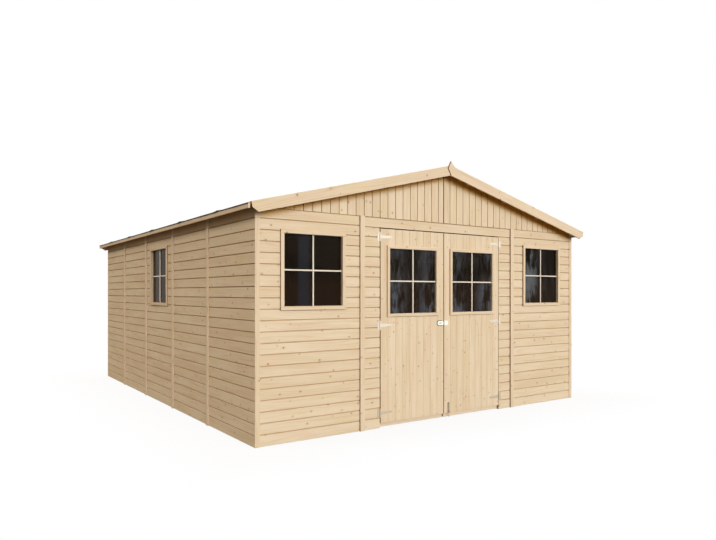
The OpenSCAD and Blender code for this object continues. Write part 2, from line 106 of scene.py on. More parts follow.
# Boards: panels, rows, grooves and gaps
SIDE_PANELS = 5
BACK_PANELS = 4
PANEL_GAP = 0.003
ROWS = 21
ROW = WALL_H / ROWS
GROOVE = 0.008
GROOVE_DEPTH = 0.010
BOARD_EASE = 0.002
ROW_LIFT = 0.0065
TOP_GROOVE = 0.006
PLAY = 0.0006
STEP = 0.0001
GABLE_PITCH = 0.0914
GABLE_FIRST = {1: 0.074, -1: 0.0909}
GABLE_GROOVE = 0.0065
GABLE_JOINT = 0.008
SEAT_GAP = 0.0004
DOOR_BOARDS = 9
DOOR_GAP = 0.006
DOOR_TRIM = 0.003
MEETING_TRIM = 0.001
LEDGE_SHADE = 0.1
DOOR_GROOVE = 0.0030
DOOR_EASE = 0.0012
DOOR_GROOVE_DEPTH = 0.0025
DECK_PITCH = 0.0896
DECK_GROOVE = 0.004
RIDGE_GAP = 0.0004
BARGE_LAP = 0.07
BARGE_JOINT = 0.006

# Eased edges: sizes, where the curve passes a corner, and limits
EASE = 0.0025
WIDE_EASE = 0.003
FINE_EASE = 0.0008
ARC = 0.3
LEAST_EASE = 0.15
MOST_EASE = 0.3
SHARP = 0.35
BEVEL_STEPS = 2
BEVEL_SHAPE = 0.6
WELD = 1e-5
FLAT = math.radians(1)
END_FACING = 0.6
SMOOTH_ANGLE = math.radians(40)

# Purlins and ridge beam, for the notches in the gables
PURLIN_FIRST = 0.330
PURLIN_STEP = 0.550
PURLIN_W = 0.045
PURLIN_H = 0.045
RIDGE_BEAM_H = 0.070

# Windows
CASING_W = 0.034
DOOR_CASING_W = 0.030
LINER = 0.012
BAR_W = 0.013
BAR_T = 0.011
BEAD = 0.014
BEAD_LAP = 0.004
GLASS_T = 0.004

# Window glass: where its painted reflections and darker parts lie, as places across and heights
PANE_X = 0.4025
CLOUD_AWAY = (0.02, 0.22)
CLOUD_Z = (1.45, 1.25)
DOOR_PANES = (0.9, 0.8)
RIGHT_PANES = (1.0, 1.1)
REFLECTED_MIST_END = (1.53, 1.37)
STREAK_X = 1.61
STREAK_HALF = (0.075, 0.035)
DIM_Z = (1.5, 1.3)
SIDE_PANES = (HALF_W - 0.1, HALF_W - 0.05)
NEAR_PANE = (0.02, -0.02)

# Felt: strips with their laps and curled edges, the strip on the ridge, and nails
FELT_T = 0.0024
FELT_LAP = 0.07
FELT_WAVE = 0.0012
WAVES_X = 1.6
WAVES_Y = 2.1
FELT_SEAT = 0.0002
FELT_SETTLE = 0.03
FELT_STEPS = 22
FELT_ROW = 0.02
FELT_BEND = 0.003
FELT_CORNER = (0.75, 0, 0.66)
CORNER_DROPS = (0.001, 0.005)
FELT_RAGGED = 0.003
RAGS = {"lap": 5, "eave": 6, "cap": 5}
FELT_CURL = 0.004
CURL_X = 0.10
CURL_Y = 0.06
LAPS_Y = (-2.0, -1.0, 0.0, 1.0, 2.0)
CAP_HALF = 0.15
CAP_SEAT = 0.0006
CAP_STEPS = 5
CAP_ROW = 0.05
CAP_WAVES_X = 4
CAP_WAVES_Y = 3
NAIL_STEP = 0.10
NAIL_IN = {"lap": 0.016, "verge": 0.02, "eave": 0.022, "cap": 0.016}
NAIL_MARGIN = 0.06
NAIL_LAST = 0.05
NAIL_SINK = 0.0006
NAIL_RISE = 0.001
NAIL_SIDES = 8
NAIL_HEAD = (
    (0.0012, -0.012), (0.0012, 0.0), (0.0046, 0.0002), (0.0042, 0.0011), (0.0022, 0.0016)
)

# Hinges, hasp and bolt, with screw heads as shares of their radius and heights
HINGE_T = 0.0025
HALF_STRAP = 0.017
PIN_X = 0.805
STRAP_SCREWS = (0.030, 0.074, 0.118)
PLATE_OUT = 0.018
PLATE_RISE = 0.029
HASP_T = 0.003
HASP_IN = 0.014
HASP_RISE = 0.013
BOLT_IN = (0.006, 0.024)
# The dark plate behind the hasp is a painted shadow round its flap and in its slot.
HASP_SHADOW_MARGIN = 0.006
HASP_SHADOW_SHORT = 0.009
HASP_SHADOW_T = 0.0012
HASP_SHADOW_STEPS = 8
SCREW_R = 0.0042
SMALL_SCREW_R = 0.0034
SCREW_SIDES = 12
SCREW_HEAD = (
    (0.4, -0.004), (1.0, 0.0), (0.96, 0.0008), (0.75, 0.0017), (0.45, 0.0021), (0.36, 0.0010),
    (0.12, 0.0009),
)

# Wood: the attributes of its points, how dark the painted shade is in grooves and where parts
# meet, and the painted warm shade (a honey tint) under the roof
GRAIN = "grain"
TINT = "tint"
DARK = "dark"
GRAIN_SPREAD = 40.0
CONTACT = 2.0
CONTACT_H = 0.004
SIDE_H = 0.0125
ROOF_SHADE_LOW = 0.145
ROOF_SHADE_TOP = 0.06
ROOF_SHADE_SIDE = (HALF_W - 0.03, HALF_W - 0.1)

# Sides and axes
SIDES = {"left": -1, "right": 1}
X_AXIS = Vector((1, 0, 0))
Y_AXIS = Vector((0, 1, 0))
Z_AXIS = Vector((0, 0, 1))
AXIS_ORDER = ((0, 1, 2), (1, 0, 2))


# Shader nodes


class Shader:
    """Adds and links the nodes of one material."""

    def __init__(self, name):
        self.material = bpy.data.materials.new(name)
        self.material.use_nodes = True
        self.tree = self.material.node_tree
        self.surface = self.tree.nodes["Principled BSDF"]

    def feed(self, socket, value):
        if isinstance(value, bpy.types.NodeSocket):
            self.tree.links.new(value, socket)
        else:
            socket.default_value = value

    def add(self, kind, inputs, **settings):
        node = self.tree.nodes.new("ShaderNode" + kind)
        for key, value in settings.items():
            setattr(node, key, value)
        for key, value in inputs.items():
            self.feed(node.inputs[key], value)
        return node

    def attribute(self, name, output):
        return self.add("Attribute", {}, attribute_name=name).outputs[output]

    def object_place(self):
        return self.add("TexCoord", {}).outputs["Object"]

    def stretch(self, vector, scale):
        return self.add("Mapping", {"Vector": vector, "Scale": scale}).outputs["Vector"]

    def noise(self, vector, scale, detail=2.0, roughness=0.5):
        inputs = {"Vector": vector, "Scale": scale, "Detail": detail, "Roughness": roughness}
        return self.add("TexNoise", inputs).outputs["Fac"]

    def parts(self, vector):
        """The X, Y and Z of a vector."""
        return list(self.add("SeparateXYZ", {"Vector": vector}).outputs)

    def math(self, operation, first, second=0.0):
        return self.add("Math", {0: first, 1: second}, operation=operation).outputs[0]

    def times(self, first, second):
        return self.math("MULTIPLY", first, second)

    def spread(self, value, low, high, to_low=0.0, to_high=1.0):
        """Leads a value softly from one range to another, and no further."""
        names = ("Value", "From Min", "From Max", "To Min", "To Max")
        inputs = dict(zip(names, (value, low, high, to_low, to_high)))
        return self.add("MapRange", inputs, interpolation_type="SMOOTHSTEP").outputs["Result"]

    def mix(self, share, first, second):
        return self.add("Mix", {0: share, 6: first, 7: second}, data_type="RGBA").outputs[2]

    def bump(self, height, strength, distance):
        inputs = {"Height": height, "Strength": strength, "Distance": distance}
        self.feed(self.surface.inputs["Normal"], self.add("Bump", inputs).outputs["Normal"])

    def set(self, **values):
        for key, value in values.items():
            self.feed(self.surface.inputs[key.replace("_", " ")], value)
        return self.material


def srgb(*levels):
    """A colour as it shows on screen, from levels over 10, for a shader's socket."""
    return [((level / 255 + 0.055) / 1.055) ** 2.4 for level in levels] + [1.0]


# Materials


def pine(name, pale, deep, pink, knot_share=0.8, knots=(6.0, 8.0, 1.0), roof_shade=False):
    """Planed pine: slow patches, a tint for each board, growth lines, fibres and small knots.

    Wall and gable boards can get a painted warm shade, a honey tint, close under the roof."""
    s = Shader(name)
    place = s.attribute(GRAIN, "Vector")
    tint = s.attribute(TINT, "Fac")
    patches = s.noise(s.stretch(place, (1.5, 13, 7)), 1.0, 3.0, 0.55)
    blush = s.noise(s.stretch(place, (2.3, 9, 5)), 1.0, 2.0)
    drift = s.noise(s.stretch(place, (1.1, 16, 9)), 1.0, 1.0)
    fibres = s.noise(s.stretch(place, (5, 420, 420)), 1.0, 3.0, 0.6)
    across = s.parts(place)[1]
    rings = s.math("ADD", s.times(across, 95.0), s.times(drift, 9.0))
    lines = s.spread(s.math("PINGPONG", rings, 1.0), 0.55, 1.0)
    lines = s.times(lines, s.spread(patches, 0.3, 0.7, 0.1, 0.4))

    inputs = {"Vector": s.stretch(place, knots), "Scale": 1.0}
    cells = s.add("TexVoronoi", inputs, voronoi_dimensions="2D")
    chance, depth, _ = s.add("SeparateColor", {"Color": cells.outputs["Color"]}).outputs
    distance = cells.outputs["Distance"]
    rare = 1 - knot_share
    size = s.spread(chance, rare, 1.0, 0.020, 0.068)
    core = s.spread(distance, size, s.times(size, 0.3))
    core = s.times(core, s.spread(depth, 0.0, 1.0, 0.3, 0.85))
    core = s.times(core, s.spread(chance, rare - 0.02, rare))
    rim = s.times(s.spread(distance, s.times(size, 2.6), size), 0.16)

    shade = s.math("ADD", s.times(tint, 0.4), s.spread(patches, 0.3, 0.7, 0.0, 0.5))
    colour = s.mix(shade, srgb(*pale), srgb(*deep))
    colour = s.mix(s.spread(blush, 0.5, 0.75, 0.0, 0.5), colour, srgb(*pink))
    colour = s.mix(s.spread(blush, 0.42, 0.25, 0.0, 0.5), colour, srgb(226, 205, 158))
    colour = s.mix(lines, colour, srgb(206, 168, 122))
    colour = s.mix(s.spread(fibres, 0.35, 0.75, 0.0, 0.3), colour, srgb(214, 184, 146))
    colour = s.mix(rim, colour, srgb(190, 140, 92))
    colour = s.mix(core, colour, srgb(124, 80, 42))
    # Painted shade: a warm honey tint on the boards close under the roof, fading lower down and
    # weaker at the wall ends.
    if roof_shade:
        x, _, z = s.parts(s.object_place())
        reach = s.math("ABSOLUTE", x)
        below = s.math("SUBTRACT", DECK_UNDER, s.math("ADD", s.times(reach, SLOPE), z))
        share = s.spread(below, ROOF_SHADE_LOW, ROOF_SHADE_TOP)
        share = s.times(share, s.spread(reach, *ROOF_SHADE_SIDE, 0.3, 1.0))
        colour = s.mix(share, colour, srgb(230, 174, 82))
    # Painted shade: lighter brown in the grooves, and dark brown where boards meet walls and
    # trims, on edges beside gaps and on shaded ends.
    dark = s.attribute(DARK, "Fac")
    colour = s.mix(s.spread(dark, 0.25, 0.9, 0.0, 0.65), colour, srgb(188, 150, 105))
    colour = s.mix(s.spread(dark, 0.9, CONTACT, 0.0, 0.9), colour, srgb(132, 78, 28))

    height = s.math("ADD", s.times(fibres, 0.6), s.times(lines, 0.5))
    height = s.math("SUBTRACT", height, s.times(core, 0.4))
    s.bump(height, 0.35, 0.0006)
    rough = s.spread(fibres, 0.3, 0.7, 0.55, 0.7)
    return s.set(Base_Color=colour, Roughness=rough, Specular_IOR_Level=0.0)


def bar_paint():
    """Cream paint on the window bars, a little uneven from the brush."""
    s = Shader("bar_paint")
    place = s.attribute(GRAIN, "Vector")
    strokes = s.noise(s.stretch(place, (12, 600, 600)), 1.0, 2.0)
    colour = s.mix(s.spread(strokes, 0.3, 0.7), srgb(240, 228, 208), srgb(228, 214, 192))
    s.bump(strokes, 0.3, 0.0003)
    rough = s.spread(strokes, 0.3, 0.7, 0.32, 0.45)
    return s.set(Base_Color=colour, Roughness=rough)


def roofing_felt():
    """Charcoal felt with mineral grit and paler worn patches."""
    s = Shader("roofing_felt")
    place = s.object_place()
    grit = s.noise(place, 620.0, 2.0, 0.7)
    wear = s.noise(place, 1.7, 4.0, 0.6)
    colour = s.mix(s.spread(grit, 0.35, 0.7), srgb(48, 44, 38), srgb(92, 88, 78))
    colour = s.mix(s.spread(wear, 0.45, 0.75, 0.0, 0.4), colour, srgb(102, 98, 88))
    s.bump(grit, 0.7, 0.0012)
    rough = s.spread(wear, 0.3, 0.7, 0.82, 0.95)
    return s.set(Base_Color=colour, Roughness=rough, Specular_IOR_Level=0.2)


def zinc(name, bright, dull):
    """Zinc-plated steel with a faint mottle, duller and greyer low down: a painted reflection of
    the ground.
    """
    s = Shader(name)
    place = s.object_place()
    mottle = s.noise(place, 160.0, 3.0, 0.6)
    colour = s.mix(s.spread(mottle, 0.3, 0.7), srgb(*bright), srgb(*dull))
    # Painted reflection: duller and greyer towards the bottom, as if mirroring the ground.
    ground_reflection = s.spread(s.parts(place)[2], 0.75, 0.15, 0.0, 0.85)
    colour = s.mix(ground_reflection, colour, srgb(186, 171, 147))
    s.bump(mottle, 0.15, 0.0004)
    rough = s.spread(mottle, 0.3, 0.7, 0.4, 0.55)
    return s.set(Base_Color=colour, Metallic=0.5, Roughness=rough)


def hasp_shadow_dark():
    """Painted shadow: dull dark grey-brown with a brown mottle, for the plate behind the hasp."""
    s = Shader("hasp_shadow_dark")
    shadow_mottle = s.noise(s.object_place(), 90.0, 3.0, 0.6)
    colour = s.mix(s.spread(shadow_mottle, 0.3, 0.7), srgb(70, 60, 50), srgb(92, 76, 58))
    s.bump(shadow_mottle, 0.2, 0.0004)
    rough = s.spread(shadow_mottle, 0.3, 0.7, 0.6, 0.75)
    return s.set(Base_Color=colour, Roughness=rough, Specular_IOR_Level=0.1)


def window_glass(name, streaks, low, high):
    """Nearly black glass, a painted shade of the dark room behind, and darker higher up.

    Painted reflections: bluish clouds in upright streaks, brown streaks on the door panes,
    a grey mist on the right-hand front panes, a pale streak on the left-hand ones, and a
    brown reflection on the side panes, darker on the front one."""
    s = Shader(name)
    place = s.object_place()
    x, y, z = s.parts(place)
    reach = s.math("ABSOLUTE", x)
    streak_pattern = s.noise(s.stretch(place, streaks), 1.0, 5.0, 0.62)
    # Nearly black: painted shade of the dark room behind, and darker higher up.
    colour = s.mix(s.spread(z, *DIM_Z), srgb(26, 19, 13), srgb(40, 29, 21))

    # Painted reflections: bluish clouds, brown streaks on the door panes, a grey mist and a pale
    # streak.
    away = s.math("ABSOLUTE", s.math("SUBTRACT", reach, PANE_X))
    reflected_cloud = s.times(s.spread(streak_pattern, low, high), s.spread(away, *CLOUD_AWAY))
    reflected_cloud = s.times(reflected_cloud, s.spread(z, *CLOUD_Z, 0.5, 1.1))
    colour = s.mix(reflected_cloud, colour, srgb(86, 90, 98))

    fine = s.noise(s.stretch(place, (36, 36, 6)), 1.0, 3.0, 0.6)
    brown = s.times(s.spread(fine, 0.5, 0.68), s.spread(reach, *DOOR_PANES, 0.0, 0.5))
    colour = s.mix(brown, colour, srgb(76, 68, 60))

    reflected_mist = s.noise(s.stretch(place, (13, 13, 4)), 1.0, 4.0, 0.6)
    reflected_mist = s.times(s.spread(reflected_mist, 0.43, 0.62), s.spread(x, *RIGHT_PANES))
    reflected_mist = s.times(reflected_mist, s.spread(x, *REFLECTED_MIST_END, 0.1, 1.0))
    colour = s.mix(reflected_mist, colour, srgb(98, 100, 102))

    offset = s.math("ABSOLUTE", s.math("ADD", x, STREAK_X))
    streak = s.times(s.spread(offset, *STREAK_HALF), 0.65)
    colour = s.mix(streak, colour, srgb(46, 48, 54))

    # Painted reflection on the side panes: brown, darker on the front pane.
    side_reflection = s.mix(s.spread(streak_pattern, 0.3, 0.7), srgb(72, 55, 32), srgb(60, 46, 28))
    side_reflection = s.mix(s.spread(y, *NEAR_PANE), side_reflection, srgb(48, 33, 12))
    colour = s.mix(s.spread(reach, *SIDE_PANES), colour, side_reflection)
    rough = s.spread(streak_pattern, 0.4, 0.8, 0.03, 0.12)
    warm = (1.0, 0.86, 0.7, 1)
    s.set(Base_Color=colour, Roughness=rough, Specular_IOR_Level=0.03, Specular_Tint=warm)
    return s.set(Alpha=0.85)


# Pieces


def put(name, data):
    """A new object in the scene."""
    item = bpy.data.objects.new(name, data)
    scene.collection.objects.link(item)
    return item


def add_piece(name, mesh, body, material, nodes):
    """Puts a finished mesh on a body, with its material, and hides the nodes it stands for."""
    mesh.materials.append(material)
    piece = put(name, mesh)
    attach(piece, body)
    if nodes:
        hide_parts(*nodes)


def outward_mesh(name, bm):
    """The finished mesh, with its faces turned outwards."""
    bmesh.ops.recalc_face_normals(bm, faces=bm.faces)
    mesh = bpy.data.meshes.new(name)
    bm.to_mesh(mesh)
    bm.free()
    return mesh


def smooth_piece(name, bm, body, material, slot, *nodes):
    """A piece that is smooth apart from its sharp edges."""
    for face in bm.faces:
        face.smooth = True
    mesh = outward_mesh(name, bm)
    mesh.set_sharp_from_angle(angle=SMOOTH_ANGLE)
    add_piece(name, mesh, body, material, nodes)


def join_rings(bm, rings):
    """Closed rings joined by quads, with a cap at each end."""
    for first, second in zip(rings, rings[1:]):
        for i in range(len(first)):
            j = (i + 1) % len(first)
            bm.faces.new((first[i], first[j], second[j], second[i]))
    bm.faces.new(rings[0])
    bm.faces.new(rings[-1])


def axes(origin, along, out):
    """Board axes: x along the grain, y across the face and z out of it."""
    along, out = Vector(along), Vector(out)
    turn = Matrix((along, out.cross(along), out)).transposed()
    return Matrix.Translation(origin) @ turn.to_4x4()


def eased_rectangle(low, high, ease, inset):
    """Corner points of a rectangle with rounded corners, drawn in by the inset."""
    radius = max(ease - inset, LEAST_EASE * ease)
    near = ARC * radius
    (y0, z0), (y1, z1) = low, high
    y0, z0, y1, z1 = y0 + inset, z0 + inset, y1 - inset, z1 - inset
    curve = ((0, radius), (near, near), (radius, 0))
    points = []
    for y, z, right, up in ((y0, z0, 1, 1), (y1, z0, -1, 1), (y1, z1, -1, -1), (y0, z1, 1, -1)):
        points += [(y + right * a, z + up * b) for a, b in curve[:: right * up]]
    return points


class Timber:
    """Boards and bars joined in one mesh. Each keeps its own grain and tint."""

    def __init__(self, name):
        self.name = name
        self.rng = random.Random(name)
        self.bm = bmesh.new()
        self.grain = self.bm.verts.layers.float_vector.new(GRAIN)
        self.tint = self.bm.verts.layers.float.new(TINT)
        self.dark = self.bm.verts.layers.float.new(DARK)

    def look(self):
        """A random place in the grain and a random tint, for one board."""
        shift = Vector([self.rng.uniform(0, GRAIN_SPREAD) for _ in range(3)])
        return shift, self.rng.random()

    def mark(self, vert, grain, look):
        vert[self.grain] = Vector(grain) + look[0]
        vert[self.tint] = look[1]

    def vert(self, local, place, look, order=(0, 1, 2)):
        vert = self.bm.verts.new(place @ Vector(local))
        self.mark(vert, [local[i] for i in order], look)
        return vert

    def strip(self, stations, place, look, rims=(False, False)):
        """A board as stations across it: y, face z, back z, start x and end x.

        The rims tell which of its two long edges get painted shade for the gap beside them."""
        rings = []
        for y, face, back, start, end in stations:
            corners = ((start, y, face), (end, y, face), (end, y, back), (start, y, back))
            ring = [self.vert(corner, place, look) for corner in corners]
            # Painted shade: the face darkens as it sinks into the groove.
            for vert in ring[:2]:
                vert[self.dark] = min(1, -face / GROOVE_DEPTH)
            rings.append(ring)
        for edge, rim in zip((rings[0], rings[-1]), rims):
            for vert in edge if rim else ():
                vert[self.dark] = CONTACT
        join_rings(self.bm, rings)

    def shade_ends(self):
        """Painted shade: darkens the end faces of boards that run from left to right."""
        self.bm.normal_update()
        for face in self.bm.faces:
            if abs(face.normal.x) > END_FACING:
                for vert in face.verts:
                    vert[self.dark] = CONTACT

    def contact(self, wall, height, outline=None):
        """Painted shade: darkens what lies close to a wall's face, or only its part on an
        outline.
        """
        inverse = wall.inverted()
        for vert in self.bm.verts:
            x, y, z = inverse @ vert.co
            if not -STEP <= z < height:
                continue
            if outline:
                x0, x1, y0, y1 = outline
                if x0 + STEP < x < x1 - STEP and y0 + STEP < y < y1 - STEP:
                    continue
            vert[self.dark] = CONTACT

    def bar(self, low, high, place, axis=0, ease=EASE):
        """A bar with eased edges and ends. The axis is the direction of its grain."""
        look = self.look()
        order = AXIS_ORDER[axis]
        low = [low[i] for i in order]
        high = [high[i] for i in order]
        ease = min(ease, MOST_EASE * min(b - a for a, b in zip(low, high)))
        ends = ((0, ease), (ARC * ease, ARC * ease), (ease, 0))
        sections = [(low[0] + step, inset) for step, inset in ends]
        sections += [(high[0] - step, inset) for step, inset in reversed(ends)]
        rings = []
        for x, inset in sections:
            ring = []
            for y, z in eased_rectangle(low[1:], high[1:], ease, inset):
                spot = (x, y, z)
                ring.append(self.vert([spot[i] for i in order], place, look, order))
            rings.append(ring)
        join_rings(self.bm, rings)

    def copy(self, node, grain, ease=EASE):
        """The solids of a CAD node with eased edges. The grain is the direction of the fibres."""
        self.bm.from_mesh(frame["nodes"][node].data)
        bmesh.ops.remove_doubles(self.bm, verts=self.bm.verts[:], dist=WELD)
        bmesh.ops.dissolve_limit(
            self.bm, angle_limit=FLAT, verts=self.bm.verts[:], edges=self.bm.edges[:]
        )
        sharp = [e for e in self.bm.edges if e.is_manifold and e.calc_face_angle() > SHARP]
        bmesh.ops.bevel(
            self.bm, geom=sharp, offset=ease, offset_type="OFFSET", segments=BEVEL_STEPS,
            profile=BEVEL_SHAPE, affect="EDGES", clamp_overlap=True,
        )
        side = X_AXIS if abs(grain.x) < 0.5 else Y_AXIS
        across = (side + grain.cross(side)).normalized()
        turn = Matrix((grain, grain.cross(across), across)).to_4x4()
        for island in self.islands():
            look = self.look()
            for vert in island:
                self.mark(vert, turn @ vert.co, look)

    def islands(self):
        """The groups of vertices that hang together, sorted by their lowest corners."""
        groups = []
        seen = set()
        for first in self.bm.verts:
            if first in seen:
                continue
            group = [first]
            seen.add(first)
            for vert in group:
                for link in vert.link_edges:
                    other = link.other_vert(vert)
                    if other not in seen:
                        seen.add(other)
                        group.append(other)
            groups.append(group)
        return sorted(groups, key=lambda group: [min(v.co[i] for v in group) for i in range(3)])

    def done(self, body, material, slot, *nodes):
        mesh = outward_mesh(self.name, self.bm)
        add_piece(self.name, mesh, body, material, nodes)


# Boards


def board_profile(pitch, groove, depth, ease):
    """The face of a board from its lower edge to the end of its tongue, as y and z."""
    edge = pitch - groove
    near = ARC * ease
    return [
        (0, -ease),
        (near, -near),
        (ease, 0),
        (edge - ease, 0),
        (edge - near, -near),
        (edge, -ease),
        (edge + STEP, -depth),
        (pitch - PLAY, -depth),
    ]


def level(points, at):
    """The height of a polyline at one place."""
    for (x0, y0), (x1, y1) in zip(points, points[1:]):
        if x0 <= at <= x1:
            return y0 + (y1 - y0) * (at - x0) / (x1 - x0)
    return points[-1][1] if at > points[-1][0] else points[0][1]


def clip(profile, low, high):
    """The part of a profile between two values of y."""
    low = max(low, profile[0][0])
    high = min(high, profile[-1][0])
    inner = [(y, z) for y, z in profile if low + STEP < y < high - STEP]
    return [(low, level(profile, low))] + inner + [(high, level(profile, high))]


def around(start, end, low, high, opening):
    """Rectangles that fill a board's face round an opening: start, end, low and high."""
    whole = [(start, end, low, high)]
    if opening is None:
        return whole
    x0, x1, y0, y1 = opening
    if y1 <= low or y0 >= high or x1 <= start or x0 >= end:
        return whole
    parts = [(start, x0, low, high), (x1, end, low, high)]
    parts += [(x0, x1, low, y0), (x0, x1, y1, high)]
    return [p for p in parts if p[1] - p[0] > STEP and p[3] - p[2] > 5 * STEP]


def lay_board(timber, place, profile, start, end, thick, opening=None, rims=(False, False)):
    """One board from start to end along its grain, cut round an opening."""
    look = timber.look()
    low, high = profile[0][0], profile[-1][0]
    for x0, x1, y0, y1 in around(start, end, low, high, opening):
        stations = [(y, z, -thick, x0, x1) for y, z in clip(profile, y0, y1)]
        dark = (rims[0] and y0 == low, rims[1] and y1 == high)
        timber.strip(stations, place, look, dark)


ROW_PROFILE = board_profile(ROW, GROOVE, GROOVE_DEPTH, BOARD_EASE)
FIRST_ROW = [(y - ROW_LIFT, z) for y, z in ROW_PROFILE[:3]] + ROW_PROFILE[3:]


def shortened(profile, end):
    """The profile of a top board, with a narrow groove below its end."""
    edge = end - TOP_GROOVE
    face = clip(profile, 0, edge)[:-1]
    return face + [(edge, -BOARD_EASE), (edge + STEP, -GROOVE_DEPTH), (end - STEP, -GROOVE_DEPTH)]


def clad(timber, wall, start, end, rows=ROWS, opening=None):
    """Level boards from the ground up, round an opening given in the wall's axes."""
    for row in range(rows):
        low = row * ROW + ROW_LIFT
        place = wall @ Matrix.Translation((0, low, 0))
        profile = ROW_PROFILE if row else FIRST_ROW
        if row == rows - 1:
            profile = shortened(profile, ROW - ROW_LIFT)
        hole = None
        if opening:
            x0, x1, y0, y1 = opening
            hole = (x0, x1, y0 - low, y1 - low)
        lay_board(timber, place, profile, start, end, BOARD_T, hole)


FRONT = axes((0, -HALF_D, 0), X_AXIS, -Y_AXIS)
BACK = axes((0, HALF_D, 0), -X_AXIS, Y_AXIS)
LEFT = axes((-HALF_W, 0, 0), -Y_AXIS, -X_AXIS)
RIGHT = axes((HALF_W, 0, 0), Y_AXIS, X_AXIS)


class Window:
    """An opening in a wall's axes, read from the frame's casing."""

    def __init__(self, node, wall, casing_w, glass_in, shade):
        self.node = node
        self.wall = wall
        self.shade = shade
        self.casing_w = casing_w
        self.glass_in = glass_in
        inverse = wall.inverted()
        first, second = (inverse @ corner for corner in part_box(node))
        self.x0 = min(first.x, second.x) + casing_w
        self.x1 = max(first.x, second.x) - casing_w
        self.y0 = first.y + casing_w
        self.y1 = second.y - casing_w
        self.casing_t = max(first.z, second.z)

    def grown(self, by):
        """The opening's outline, wider on all sides."""
        return (self.x0 - by, self.x1 + by, self.y0 - by, self.y1 + by)

    def hole(self):
        """The cut in the boards, which also takes the liner."""
        return self.grown(LINER)

    def ring(self, timber, width, back, face, grow=0.0, ease=EASE):
        """Four bars round the opening between two depths, standing out from its edge."""
        x0, x1, y0, y1 = self.grown(grow)
        for y in (y0 - width, y1):
            timber.bar((x0 - width, y, back), (x1 + width, y + width, face), self.wall, 0, ease)
        for x in (x0 - width, x1):
            timber.bar((x, y0, back), (x + width, y1, face), self.wall, 1, ease)

    def build(self, body, wood, paint):
        timber = Timber(self.node.replace("frame", "casing"))
        self.ring(timber, self.casing_w, 0.0, self.casing_t, ease=WIDE_EASE)
        # Painted shade on the casing's outer sides, close to the wall.
        timber.contact(self.wall, self.shade, self.grown(self.casing_w))
        self.ring(timber, LINER, -self.glass_in, 0.0, ease=FINE_EASE)
        behind = -self.glass_in - GLASS_T
        self.ring(timber, BEAD, behind - BEAD, behind, grow=-BEAD_LAP)
        timber.done(body, wood, "trim", self.node)

        bars = Timber(self.node.replace("frame", "bars"))
        mid_x = (self.x0 + self.x1) / 2
        mid_y = (self.y0 + self.y1) / 2
        half = BAR_W / 2
        for back, lap in ((-self.glass_in, 0), (behind - BAR_T, BEAD_LAP)):
            face = back + BAR_T
            y0, y1 = self.y0 + lap, self.y1 - lap
            bars.bar((mid_x - half, y0, back), (mid_x + half, y1, face), self.wall, 1)
            for x0, x1 in ((self.x0 + lap, mid_x - half), (mid_x + half, self.x1 - lap)):
                bars.bar((x0, mid_y - half, back), (x1, mid_y + half, face), self.wall, 0)
        bars.done(body, paint, "trim")


def panel_wall(side, wall, half, count, ends, nodes, wood, hole=None):
    """A wall of panels side by side, each of level boards. The hole is in the middle one."""
    timber = Timber(side + "_wall_boards")
    width = 2 * half / count
    for panel in range(count):
        start = -half + panel * width + PANEL_GAP / 2 if panel else ends[0]
        end = -half + (panel + 1) * width - PANEL_GAP / 2 if panel < count - 1 else ends[1]
        clad(timber, wall, start, end, opening=hole if panel == count // 2 else None)
    timber.done("building", wood, "boards", *nodes)


def front_wall(windows, wood):
    for side in SIDES:
        node = "front_%s_panel" % side
        low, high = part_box(node)
        timber = Timber("front_%s_boards" % side)
        clad(timber, FRONT, low.x, high.x, opening=windows["front_" + side].hole())
        timber.done("building", wood, "boards", node)

    low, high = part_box("door_side_panels")
    door_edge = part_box("right_door_leaf")[1].x + DOOR_GAP
    strips = Timber("door_side_boards")
    for start, end in ((low.x, -door_edge), (door_edge, high.x)):
        clad(strips, FRONT, start, end, rows=ROWS - 1)
    strips.done("building", wood, "boards", "door_side_panels")

    low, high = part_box("door_lintel_board")
    lintel = Timber("lintel_board")
    place = FRONT @ Matrix.Translation((0, low.z, 0))
    profile = shortened(ROW_PROFILE, ROW)
    # Painted shade on its lower edge, in the gap over the doors.
    lay_board(lintel, place, profile, low.x, high.x, BOARD_T, rims=(True, False))
    lintel.done("building", wood, "boards", "door_lintel_board")


def gable_top(distance):
    return DECK_UNDER - SLOPE * distance - SEAT_GAP


def gable_outline():
    """The top edge of a gable as distance from the ridge and height, round the purlins."""
    points = [
        (0, DECK_UNDER - RIDGE_BEAM_H),
        (PURLIN_W / 2, DECK_UNDER - RIDGE_BEAM_H),
        (PURLIN_W / 2 + STEP, gable_top(PURLIN_W / 2)),
    ]
    half = PURLIN_W / 2 * math.cos(PITCH)
    slant = PURLIN_H * math.sin(PITCH)
    drop = PURLIN_H / math.cos(PITCH)
    distance = PURLIN_FIRST
    while distance < HALF_W - 2 * PURLIN_W - PURLIN_H:
        first = distance - half
        last = distance + half
        points += [
            (first - STEP, gable_top(first)),
            (first, gable_top(first) - drop),
            (last - slant, gable_top(last - slant) - drop),
            (last, gable_top(last)),
        ]
        distance += PURLIN_STEP
    points.append((HALF_W, gable_top(HALF_W)))
    return points


